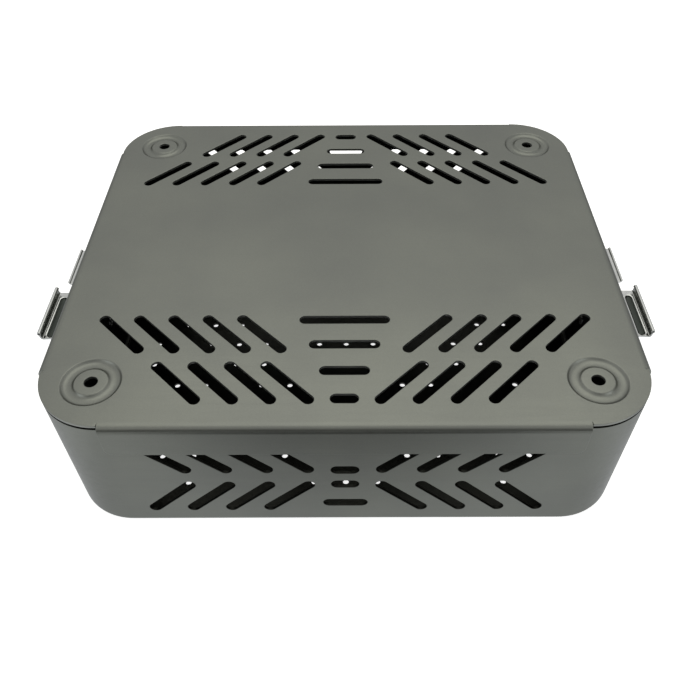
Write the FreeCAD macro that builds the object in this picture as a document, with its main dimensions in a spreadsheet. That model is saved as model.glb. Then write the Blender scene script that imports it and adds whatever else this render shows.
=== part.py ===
import FreeCAD, Part
import Sketcher
import math
import os
import re

# Sterilization container for surgical instruments: a deep sheet aluminium tray with a perforated
# floor, a slotted lift-off lid, and a stainless snap latch on each end.
# Millimetres. X runs along the length, Y across (the front is -Y), Z up from the floor, and the
# origin is the centre of the resting plane. Rest pose: lid on, both latch levers hanging open.

os.makedirs("parts", exist_ok=True)
doc = FreeCAD.newDocument("sterilization_container")
V = FreeCAD.Vector

# Driving dimensions

DIMENSIONS = (
    ("lid_length", 269.1, "lid over its end flanges"),
    ("lid_width", 236.6, "lid over its front and rear flanges"),
    ("shell_height", 77.0, "underside of the tray's floor to the top of the lid"),
    ("sheet_thick", 1.5, "aluminium sheet of tray and lid"),
    ("corner_radius", 30.0, "tray's upright corners, outside, and the lid's corners over them"),
    ("tray_bend", 2.5, "flat that stands for the bend between the tray's walls and floor"),
    ("lid_fit", 0.5, "clearance between lid flanges and tray walls"),
    ("seat_gap", 0.15, "clearance between the tray's rim and the inside of the lid's folds"),
    ("fold_radius", 3.5, "outside radius of the lid's folds"),
    ("flange_depth", 18.0, "lid's top to the lower edge of its flanges"),
    ("front_flange", 203.0, "length of the front and rear flanges"),
    ("end_flange", 172.0, "length of the end flanges"),
    ("flange_corner", 4.0, "radius of the flanges' lower corners"),
    ("slot_width", 4.9, "all steam slots"),
    ("slot_reach", 9.5, "half the sideways run of a slanted slot, and half its rise"),
    ("lid_pitch", 16.0, "slanted slots of the lid, one to the next"),
    ("outer_row_first", 24.8, "first slot of the lid's outer row from the centre line"),
    ("outer_row_out", 93.2, "lid's outer row from the middle of the lid"),
    ("inner_row_first", 38.0, "first slot of the lid's inner row from the centre line"),
    ("inner_row_out", 64.2, "lid's inner row from the middle of the lid"),
    ("bar_first_out", 55.4, "longest straight slot of the lid from the middle"),
    ("bar_step", 15.6, "straight slots of the lid, one to the next"),
    ("bar_longest", 42.0, "longest straight slot of the lid, end to end"),
    ("bar_shorter", 9.9, "each straight slot of the lid is shorter than the last by this"),
    ("wall_pitch", 18.05, "slanted slots of the walls, one to the next"),
    ("wall_first", 26.0, "first slanted wall slot from the centre line"),
    ("wall_middle", 38.9, "middle of the wall pattern above the floor's underside"),
    ("wall_row_off", 15.8, "slanted wall rows above and below that middle"),
    ("wall_bar_near", 5.7, "short straight wall slots above and below that middle"),
    ("wall_bar_far", 21.5, "long straight wall slots above and below that middle"),
    ("wall_bar_short", 12.7, "short straight wall slots, end to end"),
    ("wall_bar_long", 20.7, "long straight wall slots, end to end"),
    ("drain_pitch", 15.84, "drain holes of the floor, one to the next, both ways"),
    ("drain_radius", 2.4, "drain holes, to their corners"),
    ("ring_across", 218.2, "stacking rings, centre to centre, along X"),
    ("ring_along", 185.2, "stacking rings, centre to centre, along Y"),
    ("ring_outer", 13.2, "outer radius of a ring's groove"),
    ("ring_inner", 7.2, "radius of the flat island inside the groove"),
    ("ring_wall", 1.2, "sheet beside the groove, where it is pressed down"),
    ("ring_depth", 1.4, "depth of the groove, and height of its ridge under the lid"),
    ("ring_hole", 3.0, "radius of the hole in the middle of a ring"),
    ("latch_sheet", 1.0, "stainless sheet of the latches"),
    ("pin_out", 4.95, "hinge pin's axis from the tray's wall"),
    ("pin_up", 35.2, "hinge pin's axis above the floor's underside"),
    ("pin_radius", 1.5, "hinge pin"),
    ("pin_play", 0.05, "radial clearance of the hinge pin in its holes"),
    ("pin_end", 0.9, "hinge pin beyond the lever's ears"),
    ("side_play", 0.1, "clearance between the lever's web and the bracket's plate, its stop"),
    ("eye_radius", 3.5, "rounded ends of ears around the hinge pin"),
    ("lever_width", 37.0, "latch lever, along Y"),
    ("lever_drop", 9.0, "hinge pin's axis to the inside of the lever's web"),
    ("lever_reach", 29.4, "hinge pin's axis to the foot of the lever's lip"),
    ("lip_height", 3.6, "lever's lip above the web"),
    ("lip_lean", 0.9, "outward lean of the lip over its height"),
    ("hem_radius", 0.85, "rolled edge of the lip"),
    ("ear_reach", 13.0, "lever's ears beyond the hinge pin, along the web"),
    ("ear_play", 0.4, "clearance between the bracket's ears and the lever's"),
    ("bracket_tall", 25.0, "hinge bracket's plate"),
    ("bracket_web", 9.0, "bracket's ears at the plate, above and below the pin"),
    ("keeper_width", 26.7, "keeper on the lid, along Y"),
    ("keeper_top", 72.5, "keeper's upper edge above the floor's underside"),
    ("keeper_foot", 61.0, "keeper's shelf, underside, above the floor's underside"),
    ("keeper_out", 11.2, "keeper's upturned edge from the tray's wall"),
    ("keeper_edge", 64.6, "top of the upturned edge above the floor's underside"),
    ("bend_inside", 0.6, "inside radius of the latch parts' bends"),
    ("rivet_shank", 1.5, "radius of the rivets' shanks"),
    ("rivet_head", 2.6, "radius of the rivets' heads"),
    ("rivet_rise", 1.2, "height of the outer heads"),
    ("rivet_inside", 0.8, "height of the heads inside the tray"),
    ("bracket_rivet_y", 9.0, "bracket rivets from the latch's centre line"),
    ("bracket_rivet_z", 6.0, "bracket rivets above and below the hinge pin"),
    ("keeper_rivet_y", 8.0, "keeper rivets from the latch's centre line"),
    ("keeper_rivet_z", 67.5, "keeper rivets above the floor's underside"),
)

sizes = doc.addObject("Spreadsheet::Sheet", "Sizes")
for row, (alias, number, note) in enumerate(DIMENSIONS, start=1):
    sizes.set("A%d" % row, note)
    sizes.set("B%d" % row, "%g" % number)
    sizes.setAlias("B%d" % row, alias)
doc.recompute()
ALIASES = {alias for alias, number, note in DIMENSIONS}

# Places that follow from the driving dimensions, as formulas. Heights count from the flat
# underside of the floor, which the container stands on.

LID_TOP = "shell_height"
LID_UNDER = "(shell_height - sheet_thick)"
TRAY_X = "(lid_length / 2 - sheet_thick - lid_fit)"
TRAY_Y = "(lid_width / 2 - sheet_thick - lid_fit)"
FOLD_INSIDE = "(fold_radius - sheet_thick)"
RIM = ("(shell_height - fold_radius - seat_gap"
       " + sqrt(%s ^ 2 - (%s - lid_fit) ^ 2))" % (FOLD_INSIDE, FOLD_INSIDE))
PIN_Z = "pin_up"
BRACKET_HALF = "(lever_width / 2 - latch_sheet - ear_play)"


def full(formula):
    """The formula with every size read from the sheet."""
    return re.sub(r"[a-z_]+", lambda word: "Sizes." + word.group()
                  if word.group() in ALIASES else word.group(), formula)


def value(formula):
    """What a formula comes to now."""
    return float(sizes.evalExpression(full(formula)))


def bind(thing, name, formula):
    """Tie one property of an object to the sheet."""
    thing.setExpression(name, full(formula))


def origin_part(body, role):
    """A plane or an axis of the body's own origin."""
    return next(item for item in body.Origin.OriginFeatures if item.Role == role)


def new_sketch(body, name, plane, offset=None, along=None):
    """An empty sketch on one of the body's planes, moved off it along its normal."""
    sketch = body.newObject("Sketcher::SketchObject", name)
    sketch.AttachmentSupport = (origin_part(body, plane), [""])
    sketch.MapMode = "FlatFace"
    if offset:
        bind(sketch, "AttachmentOffset.Base.z", offset)
    if along:
        bind(sketch, "AttachmentOffset.Base.x", along)
    return sketch


def outline(body, name, plane, corners, offset=None, along=None):
    """A closed outline of straight edges, each corner a pair of formulas."""
    sketch = new_sketch(body, name, plane, offset, along)
    points = [V(value(across), value(up), 0) for across, up in corners]
    count = len(points)
    for start, end in zip(points, points[1:] + points[:1]):
        sketch.addGeometry(Part.LineSegment(start, end))
    for index in range(count):
        following = (index + 1) % count
        sketch.addConstraint(Sketcher.Constraint("Coincident", index, 2, following, 1))
    for index, corner in enumerate(corners):
        for kind, formula in zip(("DistanceX", "DistanceY"), corner):
            rule = Sketcher.Constraint(kind, -1, 1, index, 1, value(formula))
            place = sketch.addConstraint(rule)
            bind(sketch, "Constraints[%d]" % place, formula)
    return sketch


def round_outline(body, name, plane, across, up, radius, offset=None):
    """A circle whose centre and radius are formulas."""
    sketch = new_sketch(body, name, plane, offset)
    centre = V(value(across), value(up), 0)
    sketch.addGeometry(Part.Circle(centre, V(0, 0, 1), value(radius)))
    for kind, formula in (("DistanceX", across), ("DistanceY", up)):
        place = sketch.addConstraint(Sketcher.Constraint(kind, -1, 1, 0, 3, value(formula)))
        bind(sketch, "Constraints[%d]" % place, formula)
    place = sketch.addConstraint(Sketcher.Constraint("Radius", 0, value(radius)))
    bind(sketch, "Constraints[%d]" % place, radius)
    return sketch


def rounded_box(body, name, half_x, half_y, radius, offset=None):
    """A rectangle about the middle with rounded corners, lying level."""
    sketch = new_sketch(body, name, "XY_Plane", offset)
    wide, deep, bend = value(half_x), value(half_y), value(radius)
    quarter = math.pi / 2
    for number, (across, along) in enumerate(((1, -1), (1, 1), (-1, 1), (-1, -1))):
        centre = V(across * (wide - bend), along * (deep - bend), 0)
        start = (number - 1) * quarter
        sketch.addGeometry(Part.ArcOfCircle(Part.Circle(centre, Z_WAY, bend), start, start + quarter))
    arcs = [sketch.Geometry[number] for number in range(4)]
    for number in range(4):
        sketch.addGeometry(Part.LineSegment(arcs[number].EndPoint, arcs[(number + 1) % 4].StartPoint))
    for number in range(4):
        line = 4 + number
        sketch.addConstraint(Sketcher.Constraint("Tangent", number, 2, line, 1))
        sketch.addConstraint(Sketcher.Constraint("Tangent", line, 2, (number + 1) % 4, 1))
        sketch.addConstraint(Sketcher.Constraint("Horizontal" if number % 2 else "Vertical", line))
        if number:
            sketch.addConstraint(Sketcher.Constraint("Equal", 0, number))
    rules = ((Sketcher.Constraint("Radius", 0, bend), radius),
             (Sketcher.Constraint("DistanceX", -1, 1, 4, 1, wide), half_x),
             (Sketcher.Constraint("DistanceX", -1, 1, 6, 1, -wide), "-" + half_x),
             (Sketcher.Constraint("DistanceY", -1, 1, 5, 1, deep), half_y),
             (Sketcher.Constraint("DistanceY", -1, 1, 7, 1, -deep), "-" + half_y))
    for rule, formula in rules:
        place = sketch.addConstraint(rule)
        bind(sketch, "Constraints[%d]" % place, formula)
    return sketch


def box_corners(low_x, low_y, high_x, high_y):
    """The four corners of a rectangle, counter-clockwise."""
    return ((low_x, low_y), (high_x, low_y), (high_x, high_y), (low_x, high_y))


def slot_corners(across, up, reach_x, reach_y, turn):
    """A round-ended slot with a few flats at each end, along the line through its two end centres."""
    corners = []
    for sign, start in (("-", turn + 90), ("+", turn - 90)):
        for step in range(END_FLATS + 1):
            angle = start + step * 180.0 / END_FLATS
            corners.append((
                "%s %s %s + slot_width / 2 * cos(%g deg)" % (across, sign, reach_x, angle),
                "%s %s %s + slot_width / 2 * sin(%g deg)" % (up, sign, reach_y, angle)))
    return corners


def pad(body, name, sketch, length, middle=False):
    """Sheet or solid grown from a sketch along its normal, or both ways."""
    feature = body.newObject("PartDesign::Pad", name)
    feature.Profile = sketch
    feature.Midplane = middle
    bind(feature, "Length", length)
    doc.recompute()
    return feature


def punch(body, name, sketch, length):
    """A cut of stated length, half each way from the sketch, that must take something away."""
    before = body.Shape.Volume
    feature = body.newObject("PartDesign::Pocket", name)
    feature.Profile = sketch
    feature.Midplane = True
    bind(feature, "Length", length)
    doc.recompute()
    if feature.Shape.Volume > before - 1e-3:
        raise RuntimeError("%s cuts nothing" % name)
    return feature


def repeat(body, name, originals, rows=(), mirrors=()):
    """Copies of features: rows are (axis, pitch, count), mirrors are planes."""
    pattern = body.newObject("PartDesign::MultiTransform", name)
    pattern.Originals = originals
    steps = []
    for number, (axis, pitch, count) in enumerate(rows):
        row = body.newObject("PartDesign::LinearPattern", "%s_row_%d" % (name, number))
        row.Direction = (origin_part(body, axis), [""])
        row.Mode = "Spacing"
        bind(row, "Offset", pitch)
        row.Occurrences = count
        steps.append(row)
    for number, plane in enumerate(mirrors):
        mirror = body.newObject("PartDesign::Mirrored", "%s_mirror_%d" % (name, number))
        mirror.MirrorPlane = (origin_part(body, plane), [""])
        steps.append(mirror)
    pattern.Transformations = steps
    body.Tip = pattern
    doc.recompute()
    return pattern


def soften(body, name, wanted, radius, kind="Fillet"):
    """A fillet or chamfer along every edge of the body that the test picks."""
    base = body.Tip
    edges = ["Edge%d" % number for number, edge in enumerate(base.Shape.Edges, start=1)
             if wanted(edge)]
    if not edges:
        raise RuntimeError("%s finds no edge" % name)
    feature = body.newObject("PartDesign::" + kind, name)
    feature.Base = (base, edges)
    bind(feature, "Radius" if kind == "Fillet" else "Size", radius)
    doc.recompute()
    return feature


def runs_along(edge, direction):
    """Whether an edge is straight and parallel to a direction."""
    if not isinstance(edge.Curve, (Part.Line, Part.LineSegment)):
        return False
    start, end = edge.Vertexes[0].Point, edge.Vertexes[-1].Point
    return (end - start).normalize().cross(direction).Length < 1e-6


def passes(edge, direction, spots):
    """Whether a straight edge along a direction goes through one of the named spots."""
    if not runs_along(edge, direction):
        return False
    for spot in spots:
        away = edge.CenterOfMass - spot
        if (away - direction * away.dot(direction)).Length < 1e-3:
            return True
    return False


END_FLATS = 3
SHANK_FLATS = 6
HEAD_FLATS = 8
RING_FLATS = 20
EYE_FLATS = 12
HEM_FLATS = 10
X_WAY = V(1, 0, 0)
Y_WAY = V(0, 1, 0)
Z_WAY = V(0, 0, 1)
QUARTERS = ("YZ_Plane", "XZ_Plane")


def flats(across, up, radius, count):
    """The corners of a regular outline about a centre."""
    return [("%s + %s * cos(%g deg)" % (across, radius, turn),
             "%s + %s * sin(%g deg)" % (up, radius, turn))
            for turn in (360.0 * step / count for step in range(count))]


def rivet_hole(body, name, across, up, length):
    """A rivet's hole along X, drawn with flats like the shank that fills it."""
    return punch(body, name, outline(body, name + "_outline", "YZ_Plane",
                                     flats(across, up, "rivet_shank", SHANK_FLATS)), length)


def ring_outline(body, name, outer, inner, offset):
    """Two regular outlines, one inside the other, about the front right ring's centre."""
    sketch = new_sketch(body, name, "XY_Plane", offset)
    for radius in (outer, inner):
        first = sketch.GeometryCount
        corners = flats("ring_across / 2", "-ring_along / 2", radius, RING_FLATS)
        points = [V(value(across), value(up), 0) for across, up in corners]
        for start, end in zip(points, points[1:] + points[:1]):
            sketch.addGeometry(Part.LineSegment(start, end))
        for index in range(RING_FLATS):
            following = first + (index + 1) % RING_FLATS
            sketch.addConstraint(Sketcher.Constraint("Coincident", first + index, 2, following, 1))
        for index, corner in enumerate(corners):
            for kind, formula in zip(("DistanceX", "DistanceY"), corner):
                rule = Sketcher.Constraint(kind, -1, 1, first + index, 1, value(formula))
                place = sketch.addConstraint(rule)
                bind(sketch, "Constraints[%d]" % place, formula)
    return sketch


def press_rings(body, top, sheet_under):
    """Four pressed rings, each a groove in the upper face with its ridge below, round a hole."""
    ridge = pad(body, "ring_ridge", ring_outline(
        body, "ring_ridge_outline", "ring_outer + ring_wall", "ring_inner - ring_wall",
        sheet_under + " - ring_depth"), "ring_depth")
    groove = punch(body, "ring_groove", ring_outline(
        body, "ring_groove_outline", "ring_outer", "ring_inner", top), "2 * ring_depth")
    hole = round_outline(body, "ring_hole_outline", "XY_Plane", "ring_across / 2",
                         "-ring_along / 2", "ring_hole", top)
    hole_cut = punch(body, "ring_hole", hole, "4 * sheet_thick")
    return repeat(body, "stacking_rings", [ridge, groove, hole_cut], (), QUARTERS)


# Lid: one blank with four flanges folded down, which stop short of the rounded corners

lid = doc.addObject("PartDesign::Body", "lid")
pad(lid, "top_plate", rounded_box(
    lid, "plate_outline", TRAY_X, TRAY_Y, "corner_radius", LID_UNDER), "sheet_thick")
relief_front = punch(lid, "front_relief", outline(lid, "front_relief_outline", "XY_Plane", box_corners(
    "-front_flange / 2", "-lid_width / 2 - fold_radius",
    "front_flange / 2", "-(lid_width / 2 - fold_radius)"), LID_UNDER), "4 * sheet_thick")
relief_end = punch(lid, "end_relief", outline(lid, "end_relief_outline", "XY_Plane", box_corners(
    "lid_length / 2 - fold_radius", "-end_flange / 2",
    "lid_length / 2 + fold_radius", "end_flange / 2"), LID_UNDER), "4 * sheet_thick")
repeat(lid, "fold_reliefs", [relief_front, relief_end], (), QUARTERS)


def flange(name, plane, half, length):
    """A fold and its flange, as an angle section along one side of the plate."""
    outside = "(%s)" % half
    section = outline(lid, name + "_section", plane, (
        (outside + " - fold_radius", LID_TOP),
        (outside + " - fold_radius", LID_UNDER),
        (outside + " - sheet_thick", LID_UNDER),
        (outside + " - sheet_thick", LID_TOP + " - flange_depth"),
        (outside, LID_TOP + " - flange_depth"),
        (outside, LID_TOP)))
    return pad(lid, name, section, length, middle=True)


front_angle = flange("rear_flange", "YZ_Plane", "lid_width / 2", "front_flange")
end_angle = flange("right_flange", "XZ_Plane", "lid_length / 2", "end_flange")
repeat(lid, "four_flanges", [front_angle, end_angle], (), QUARTERS)
top_z, under_z = value(LID_TOP), value(LID_UNDER)
half_x, half_y, thick = value("lid_length / 2"), value("lid_width / 2"), value("sheet_thick")
soften(lid, "folds_outside", lambda edge: passes(
    edge, X_WAY, [V(0, side * half_y, top_z) for side in (-1, 1)]) or passes(
    edge, Y_WAY, [V(side * half_x, 0, top_z) for side in (-1, 1)]), "fold_radius")
soften(lid, "folds_inside", lambda edge: passes(
    edge, X_WAY, [V(0, side * (half_y - thick), under_z) for side in (-1, 1)]) or passes(
    edge, Y_WAY, [V(side * (half_x - thick), 0, under_z) for side in (-1, 1)]),
    "fold_radius - sheet_thick")
flange_foot = value(LID_TOP + " - flange_depth")


def flange_corner_edge(edge):
    """The short edges through the sheet at the flanges' lower corners."""
    middle = edge.CenterOfMass
    low = abs(middle.z - flange_foot) < 1e-3
    return low and edge.Length < 1.1 * thick


soften(lid, "flange_corners", flange_corner_edge, "flange_corner")
press_rings(lid, LID_TOP, LID_UNDER)

outer_slot = punch(lid, "outer_row_slot", outline(lid, "outer_row_outline", "XY_Plane", slot_corners(
    "outer_row_first", "outer_row_out", "(-slot_reach)", "slot_reach", 135), LID_TOP), "4 * sheet_thick")
repeat(lid, "outer_rows", [outer_slot], [("X_Axis", "lid_pitch", 4)], QUARTERS)
inner_slot = punch(lid, "inner_row_slot", outline(lid, "inner_row_outline", "XY_Plane", slot_corners(
    "inner_row_first", "inner_row_out", "(-slot_reach)", "slot_reach", 135), LID_TOP), "4 * sheet_thick")
repeat(lid, "inner_rows", [inner_slot], [("X_Axis", "lid_pitch", 5)], QUARTERS)
bars = []
for number in range(4):
    half_run = "((bar_longest - %d * bar_shorter - slot_width) / 2)" % number
    bars.append(punch(lid, "bar_slot_%d" % number, outline(
        lid, "bar_outline_%d" % number, "XY_Plane", slot_corners(
            "0", "bar_first_out + %d * bar_step" % number, half_run, "0", 0), LID_TOP), "4 * sheet_thick"))
repeat(lid, "bar_slots", bars, (), ("XZ_Plane",))

flange_hole = rivet_hole(lid, "keeper_rivet_hole", "keeper_rivet_y", "keeper_rivet_z",
                         "lid_length + 20")
repeat(lid, "keeper_rivet_holes", [flange_hole], (), ("XZ_Plane",))

# Tray: drawn box with rounded upright corners and a bend to the floor, slotted front and rear

tray = doc.addObject("PartDesign::Body", "base_tray")
pad(tray, "block", rounded_box(
    tray, "tray_outline", TRAY_X, TRAY_Y, "corner_radius"), RIM)
soften(tray, "floor_bend", lambda edge: all(
    abs(corner.Point.z) < 1e-6 for corner in edge.Vertexes), "tray_bend", "Chamfer")
punch(tray, "hollow", rounded_box(
    tray, "hollow_outline", "(%s - sheet_thick)" % TRAY_X, "(%s - sheet_thick)" % TRAY_Y,
    "corner_radius - sheet_thick", RIM), "2 * (%s - sheet_thick)" % RIM)
# One cut along Y makes each slot in the front wall and its twin in the rear wall.
THROUGH_WALLS = "lid_width + 20"
wall_slots = []
for name, side, way in (("lower", "-", 135), ("upper", "+", 45)):
    rise = "slot_reach" if way == 135 else "(-slot_reach)"
    wall_slots.append(punch(tray, name + "_wall_slot", outline(
        tray, name + "_wall_outline", "XZ_Plane", slot_corners(
            "wall_first", "wall_middle %s wall_row_off" % side,
            "(-slot_reach)", rise, way if way == 135 else 225)), THROUGH_WALLS))
repeat(tray, "wall_rows", wall_slots, [("X_Axis", "wall_pitch", 4)], ("YZ_Plane",))
for name, off, length in (("near", "wall_bar_near", "wall_bar_short"),
                          ("far", "wall_bar_far", "wall_bar_long")):
    for side in ("-", "+"):
        label = name + ("_lower" if side == "-" else "_upper")
        punch(tray, label + "_bar", outline(tray, label + "_bar_outline", "XZ_Plane", slot_corners(
            "0", "wall_middle %s %s" % (side, off),
            "((%s - slot_width) / 2)" % length, "0", 0)), THROUGH_WALLS)

# Rivet holes for the latches' brackets, then the floor's drain holes

wall_hole = rivet_hole(tray, "bracket_rivet_hole", "bracket_rivet_y", PIN_Z + " - bracket_rivet_z",
                       "lid_length + 20")
repeat(tray, "bracket_rivet_holes", [wall_hole], [("Z_Axis", "2 * bracket_rivet_z", 2)], ("XZ_Plane",))

# Drain holes, drawn with four flats, in one square grid about the middle of the floor

DRAIN_COLUMNS = 7
DRAIN_ROWS = 6
DRAIN_SIDES = 4


def drain_outlines(body):
    """Every drain hole in one sketch on the floor's underside."""
    sketch = new_sketch(body, "drain_outline", "XY_Plane")
    pitch, radius = value("drain_pitch"), value("drain_radius")
    turns = [2 * math.pi * side / DRAIN_SIDES for side in range(DRAIN_SIDES + 1)]
    edges = []
    for row in range(-DRAIN_ROWS, DRAIN_ROWS + 1):
        for column in range(-DRAIN_COLUMNS, DRAIN_COLUMNS + 1):
            ring = [V(column * pitch + radius * math.cos(turn),
                      row * pitch + radius * math.sin(turn), 0) for turn in turns]
            edges += [Part.LineSegment(start, end) for start, end in zip(ring, ring[1:])]
    sketch.addGeometry(edges)
    return sketch


punch(tray, "drain_holes", drain_outlines(tray), "4 * sheet_thick")


# Latches. Each is drawn in a frame whose X points out of the tray's end wall from its outer
# face, and the left latch is the right one turned half round.

def latch_body(name, side):
    """A body placed at one end wall."""
    body = doc.addObject("PartDesign::Body", name)
    turn = 0 if side == "right" else 180
    body.Placement = FreeCAD.Placement(V(0, 0, 0), FreeCAD.Rotation(Z_WAY, turn))
    bind(body, "Placement.Base.x", TRAY_X if side == "right" else "-" + TRAY_X)
    return body


def bore_through(body, name, radius):
    """A hole along Y on the hinge pin's axis."""
    punch(body, name, round_outline(body, name + "_outline", "XZ_Plane", "pin_out", PIN_Z, radius),
          "2 * lever_width")


def ear_pair(body, name, corners, outside):
    """Two upright ears across Y, each a plate with a rounded end about the hinge pin."""
    plate = pad(body, name + "_plate", outline(
        body, name + "_outline", "XZ_Plane", corners, "-" + outside), "latch_sheet")
    eye = pad(body, name + "_eye", outline(
        body, name + "_eye_outline", "XZ_Plane", flats("pin_out", PIN_Z, "eye_radius", EYE_FLATS),
        "-" + outside), "latch_sheet")
    repeat(body, name + "s", [plate, eye], (), ("XZ_Plane",))


def make_bracket(side):
    """Riveted hinge bracket: a back plate with an ear folded out at each edge."""
    body = latch_body(side + "_latch_bracket", side)
    pad(body, "back_plate", outline(body, "back_outline", "YZ_Plane", box_corners(
        "-" + BRACKET_HALF, PIN_Z + " - bracket_tall / 2",
        BRACKET_HALF, PIN_Z + " + bracket_tall / 2")), "latch_sheet")
    ear_pair(body, "ear", (
        ("0", PIN_Z + " - bracket_web"), ("pin_out", PIN_Z + " - eye_radius"),
        ("pin_out", PIN_Z + " + eye_radius"), ("0", PIN_Z + " + bracket_web")), BRACKET_HALF)
    bore_through(body, "pin_bore", "pin_radius + pin_play")
    hole = rivet_hole(body, "rivet_hole", "bracket_rivet_y", PIN_Z + " - bracket_rivet_z",
                      "4 * latch_sheet")
    repeat(body, "rivet_holes", [hole], [("Z_Axis", "2 * bracket_rivet_z", 2)], ("XZ_Plane",))
    return body


WEB_TOP = "(%s - lever_drop)" % PIN_Z
LIP_FOOT = "(pin_out + lever_reach)"


def make_lever(side):
    """Latch lever: a web with two ears at the hinge and a leaning, hemmed lip at its free end."""
    body = latch_body(side + "_latch_lever", side)
    pad(body, "web_and_lip", outline(body, "lever_section", "XZ_Plane", (
        ("latch_sheet + side_play", WEB_TOP + " - latch_sheet"),
        (LIP_FOOT + " + latch_sheet", WEB_TOP + " - latch_sheet"),
        (LIP_FOOT + " + latch_sheet + lip_lean", WEB_TOP + " + lip_height"),
        (LIP_FOOT + " + lip_lean", WEB_TOP + " + lip_height"),
        (LIP_FOOT, WEB_TOP),
        ("latch_sheet + side_play", WEB_TOP))), "lever_width", middle=True)
    foot_x, web_z, metal = value(LIP_FOOT), value(WEB_TOP), value("latch_sheet")
    soften(body, "lip_bend_inside", lambda edge: passes(
        edge, Y_WAY, [V(foot_x, 0, web_z)]), "bend_inside")
    soften(body, "lip_bend_outside", lambda edge: passes(
        edge, Y_WAY, [V(foot_x + metal, 0, web_z - metal)]), "bend_inside + latch_sheet")
    pad(body, "rolled_hem", outline(body, "hem_outline", "XZ_Plane", flats(
        LIP_FOOT + " + lip_lean + latch_sheet / 2", WEB_TOP + " + lip_height", "hem_radius",
        HEM_FLATS)), "lever_width", middle=True)
    ear_pair(body, "ear", (
        ("pin_out - eye_radius", WEB_TOP), ("pin_out + ear_reach", WEB_TOP),
        ("pin_out + eye_radius", PIN_Z), ("pin_out - eye_radius", PIN_Z)), "(lever_width / 2)")
    bore_through(body, "pin_bore", "pin_radius + pin_play")
    return body


def make_pin(side):
    """Hinge pin through both pairs of ears, standing a little out of the lever's."""
    body = latch_body(side + "_hinge_pin", side)
    pad(body, "shank", round_outline(
        body, "shank_outline", "XZ_Plane", "pin_out", PIN_Z, "pin_radius"),
        "lever_width + 2 * pin_end", middle=True)
    return body


def make_keeper(side):
    """Keeper on the lid's flange: a riveted plate with a shelf and an upturned edge."""
    body = latch_body(side + "_keeper", side)
    plate = "(lid_fit + sheet_thick)"
    corners = (
        (plate, "keeper_top"), (plate, "keeper_foot"),
        ("keeper_out", "keeper_foot"), ("keeper_out", "keeper_edge"),
        ("keeper_out - latch_sheet", "keeper_edge"),
        ("keeper_out - latch_sheet", "keeper_foot + latch_sheet"),
        (plate + " + latch_sheet", "keeper_foot + latch_sheet"),
        (plate + " + latch_sheet", "keeper_top"))
    pad(body, "hook", outline(body, "keeper_section", "XZ_Plane", corners), "keeper_width", middle=True)
    spots = [V(value(corners[n][0]), 0, value(corners[n][1])) for n in (1, 2)]
    soften(body, "bends_outside", lambda edge: passes(edge, Y_WAY, spots), "bend_inside + latch_sheet")
    inner = [V(value(corners[n][0]), 0, value(corners[n][1])) for n in (5, 6)]
    soften(body, "bends_inside", lambda edge: passes(edge, Y_WAY, inner), "bend_inside")
    hole = rivet_hole(body, "rivet_hole", "keeper_rivet_y", "keeper_rivet_z", "4 * " + plate)
    repeat(body, "rivet_holes", [hole], (), ("XZ_Plane",))
    return body


def make_rivet(name, side, across, up, inside, seat, back=None):
    """A rivet along X: shank from the inner face to the seat, outer head, and inner head if any."""
    body = latch_body(name, side)
    shank = outline(body, "shank_outline", "YZ_Plane",
                    flats(across, up, "rivet_shank", SHANK_FLATS), inside)
    pad(body, "shank", shank, "%s - (%s)" % (seat, inside))
    head = outline(body, "head_outline", "YZ_Plane", flats(across, up, "rivet_head", HEAD_FLATS), seat)
    pad(body, "head", head, "rivet_rise")
    if back:
        tail = outline(body, "tail_outline", "YZ_Plane",
                       flats(across, up, "rivet_head", HEAD_FLATS), "%s - %s" % (inside, back))
        pad(body, "tail", tail, back)


for side in ("right", "left"):
    make_bracket(side)
    make_lever(side)
    make_pin(side)
    make_keeper(side)
    for row, up in (("lower", "-"), ("upper", "+")):
        for place, across in (("front", "-"), ("rear", "+")):
            make_rivet("%s_bracket_rivet_%s_%s" % (side, row, place), side,
                       across + "bracket_rivet_y", "%s %s bracket_rivet_z" % (PIN_Z, up),
                       "-sheet_thick", "latch_sheet", "rivet_inside")
    for place, across in (("front", "-"), ("rear", "+")):
        make_rivet("%s_keeper_rivet_%s" % (side, place), side, across + "keeper_rivet_y",
                   "keeper_rivet_z", "lid_fit", "(lid_fit + sheet_thick + latch_sheet)")

doc.recompute()
for item in doc.Objects:
    if "Invalid" in item.State or "Error" in item.State:
        raise RuntimeError("%s failed: %s" % (item.Label, item.State))
for body in [item for item in doc.Objects if item.TypeId == "PartDesign::Body"]:
    shape = body.Shape
    if shape.isNull() or not shape.isValid() or len(shape.Solids) != 1:
        raise RuntimeError("%s is not one valid solid" % body.Label)
    shape.exportStep("parts/%s.step" % body.Label)
    print(body.Label, round(shape.Volume, 1), [round(n, 2) for n in (
        shape.BoundBox.XMin, shape.BoundBox.XMax, shape.BoundBox.YMin, shape.BoundBox.YMax,
        shape.BoundBox.ZMin, shape.BoundBox.ZMax)])
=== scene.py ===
import math

import bpy
import numpy as np
from mathutils import Matrix, Vector
from mathutils.geometry import delaunay_2d_cdt


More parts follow.
